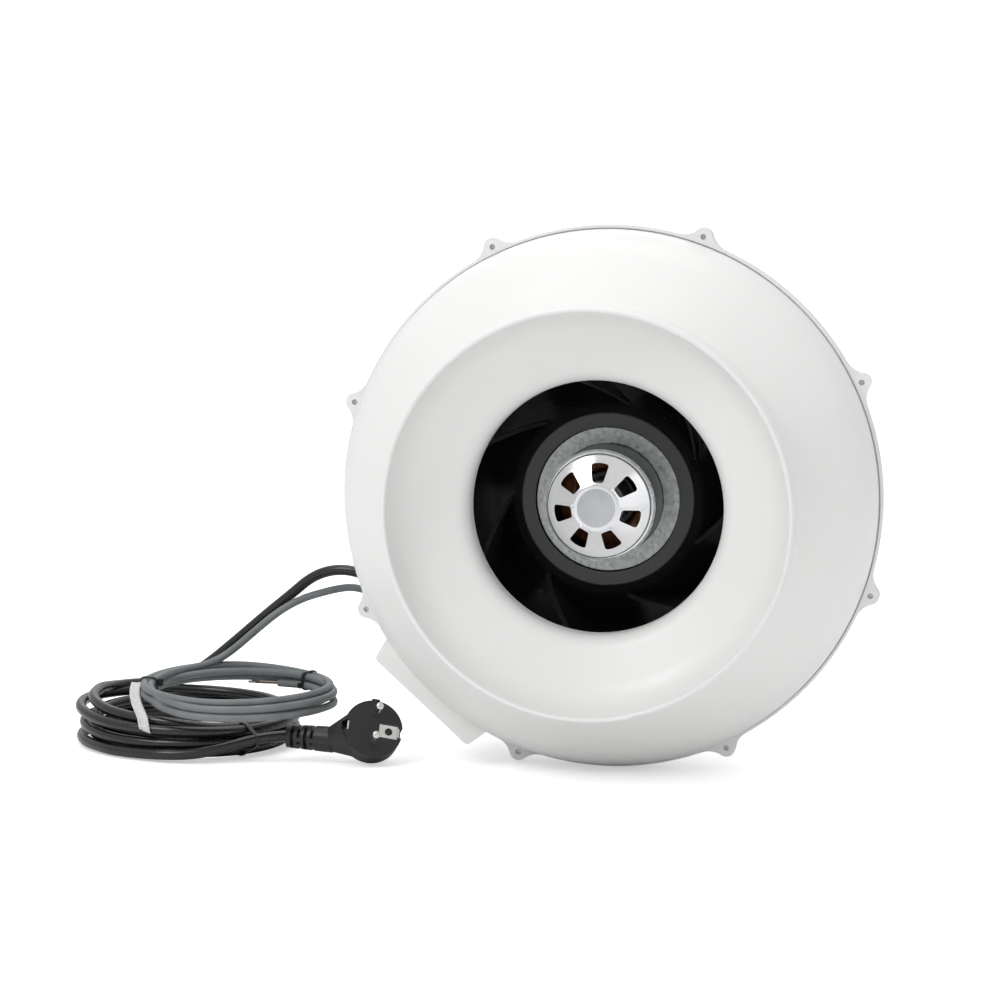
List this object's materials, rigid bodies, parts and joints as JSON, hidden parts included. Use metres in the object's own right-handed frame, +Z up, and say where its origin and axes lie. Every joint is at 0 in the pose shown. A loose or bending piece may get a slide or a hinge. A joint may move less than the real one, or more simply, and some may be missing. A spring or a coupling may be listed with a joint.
{
  "type": "inline duct fan",
  "caption": "Round plastic inline duct fan with a spigot at each end, an external-rotor impeller, a side terminal box, a mains lead with an earthed plug and a thin control lead, both coiled.",
  "frame": {"origin": "on the floor under the parting plane of the casing, where the fan stands on its rim", "axes": "+Z up, the fan's axis is parallel to Y at 170 mm height, inlet towards -Y, outlet towards +Y, +X to the right seen from the inlet"},
  "size_m": [0.5265, 0.214, 0.34],
  "materials": {
    "casing_plastic": "satin",
    "black_plastic": "satin",
    "impeller_plastic": "satin",
    "galvanised_steel": "spangled",
    "polished_aluminium": "polished",
    "lamination_steel": "matte",
    "bearing_steel": "ground",
    "zinc_screw": "zinc plated",
    "copper_wire": "enamelled",
    "ferrite": "matte",
    "cast_alloy": "cast",
    "gasket_rubber": "matte",
    "mains_pvc": "gloss",
    "control_pvc": "matte",
    "plug_pvc": "satin",
    "nickel": "plated",
    "blank_label": "metallised",
    "terminal_plastic": "matte",
    "tie_nylon": "satin",
    "tag_film": "woven"
  },
  "bodies": {
    "casing": {"inlet_casing": "casing_plastic", "outlet_casing": "casing_plastic", "casing_gasket": "gasket_rubber", "casing_screws": "zinc_screw", "terminal_box_lid": "casing_plastic", "terminal_box_seal": "gasket_rubber", "terminal_box_screws": "zinc_screw", "terminal_block": "terminal_plastic", "terminal_block_clamps": "nickel", "capacitor": "terminal_plastic", "motor_cable": "mains_pvc", "cable_grommet": "gasket_rubber", "mains_gland_body": "black_plastic", "mains_gland_cap": "black_plastic", "mains_gland_locknut": "black_plastic", "mains_gland_seal": "gasket_rubber", "control_gland_body": "black_plastic", "control_gland_cap": "black_plastic", "control_gland_locknut": "black_plastic", "control_gland_seal": "gasket_rubber", "motor_bracket": "galvanised_steel", "bracket_screws": "zinc_screw", "motor_screws": "zinc_screw", "stator_flange": "cast_alloy", "stator_core": "lamination_steel", "stator_windings": "copper_wire", "bearing_outer_races": "bearing_steel", "mains_lead": "mains_pvc", "mains_coil": "mains_pvc", "mains_tail": "mains_pvc", "mains_tie": "tie_nylon", "control_lead": "control_pvc", "control_coil": "control_pvc", "control_ties": "tie_nylon", "cable_tag": "tag_film", "plug_body": "plug_pvc", "plug_strain_relief": "plug_pvc", "plug_pins": "nickel", "plug_earth_contacts": "nickel"},
    "rotor": {"rotor_cup": "galvanised_steel", "rotor_cap": "polished_aluminium", "rotor_label": "blank_label", "rotor_magnets": "ferrite", "rotor_shaft": "bearing_steel", "bearing_inner_races": "bearing_steel", "impeller_wheel": "impeller_plastic", "impeller_shroud": "impeller_plastic"},
    "bearing_cages": {"bearing_balls": "bearing_steel", "bearing_cages": "bearing_steel"}
  },
  "joints": [
    {"name": "impeller_spin", "type": "hinge", "parent": "casing", "child": "rotor", "pos_m": [0, 0, 0.17], "axis": [0, 1, 0], "continuous": true},
    {"name": "bearing_cage_spin", "type": "hinge", "parent": "casing", "child": "bearing_cages", "pos_m": [0, 0, 0.17], "axis": [0, 1, 0], "continuous": true}
  ],
  "couplings": [
    {"joint": "bearing_cage_spin", "follows": "impeller_spin", "ratio": 0.37}
  ]
}
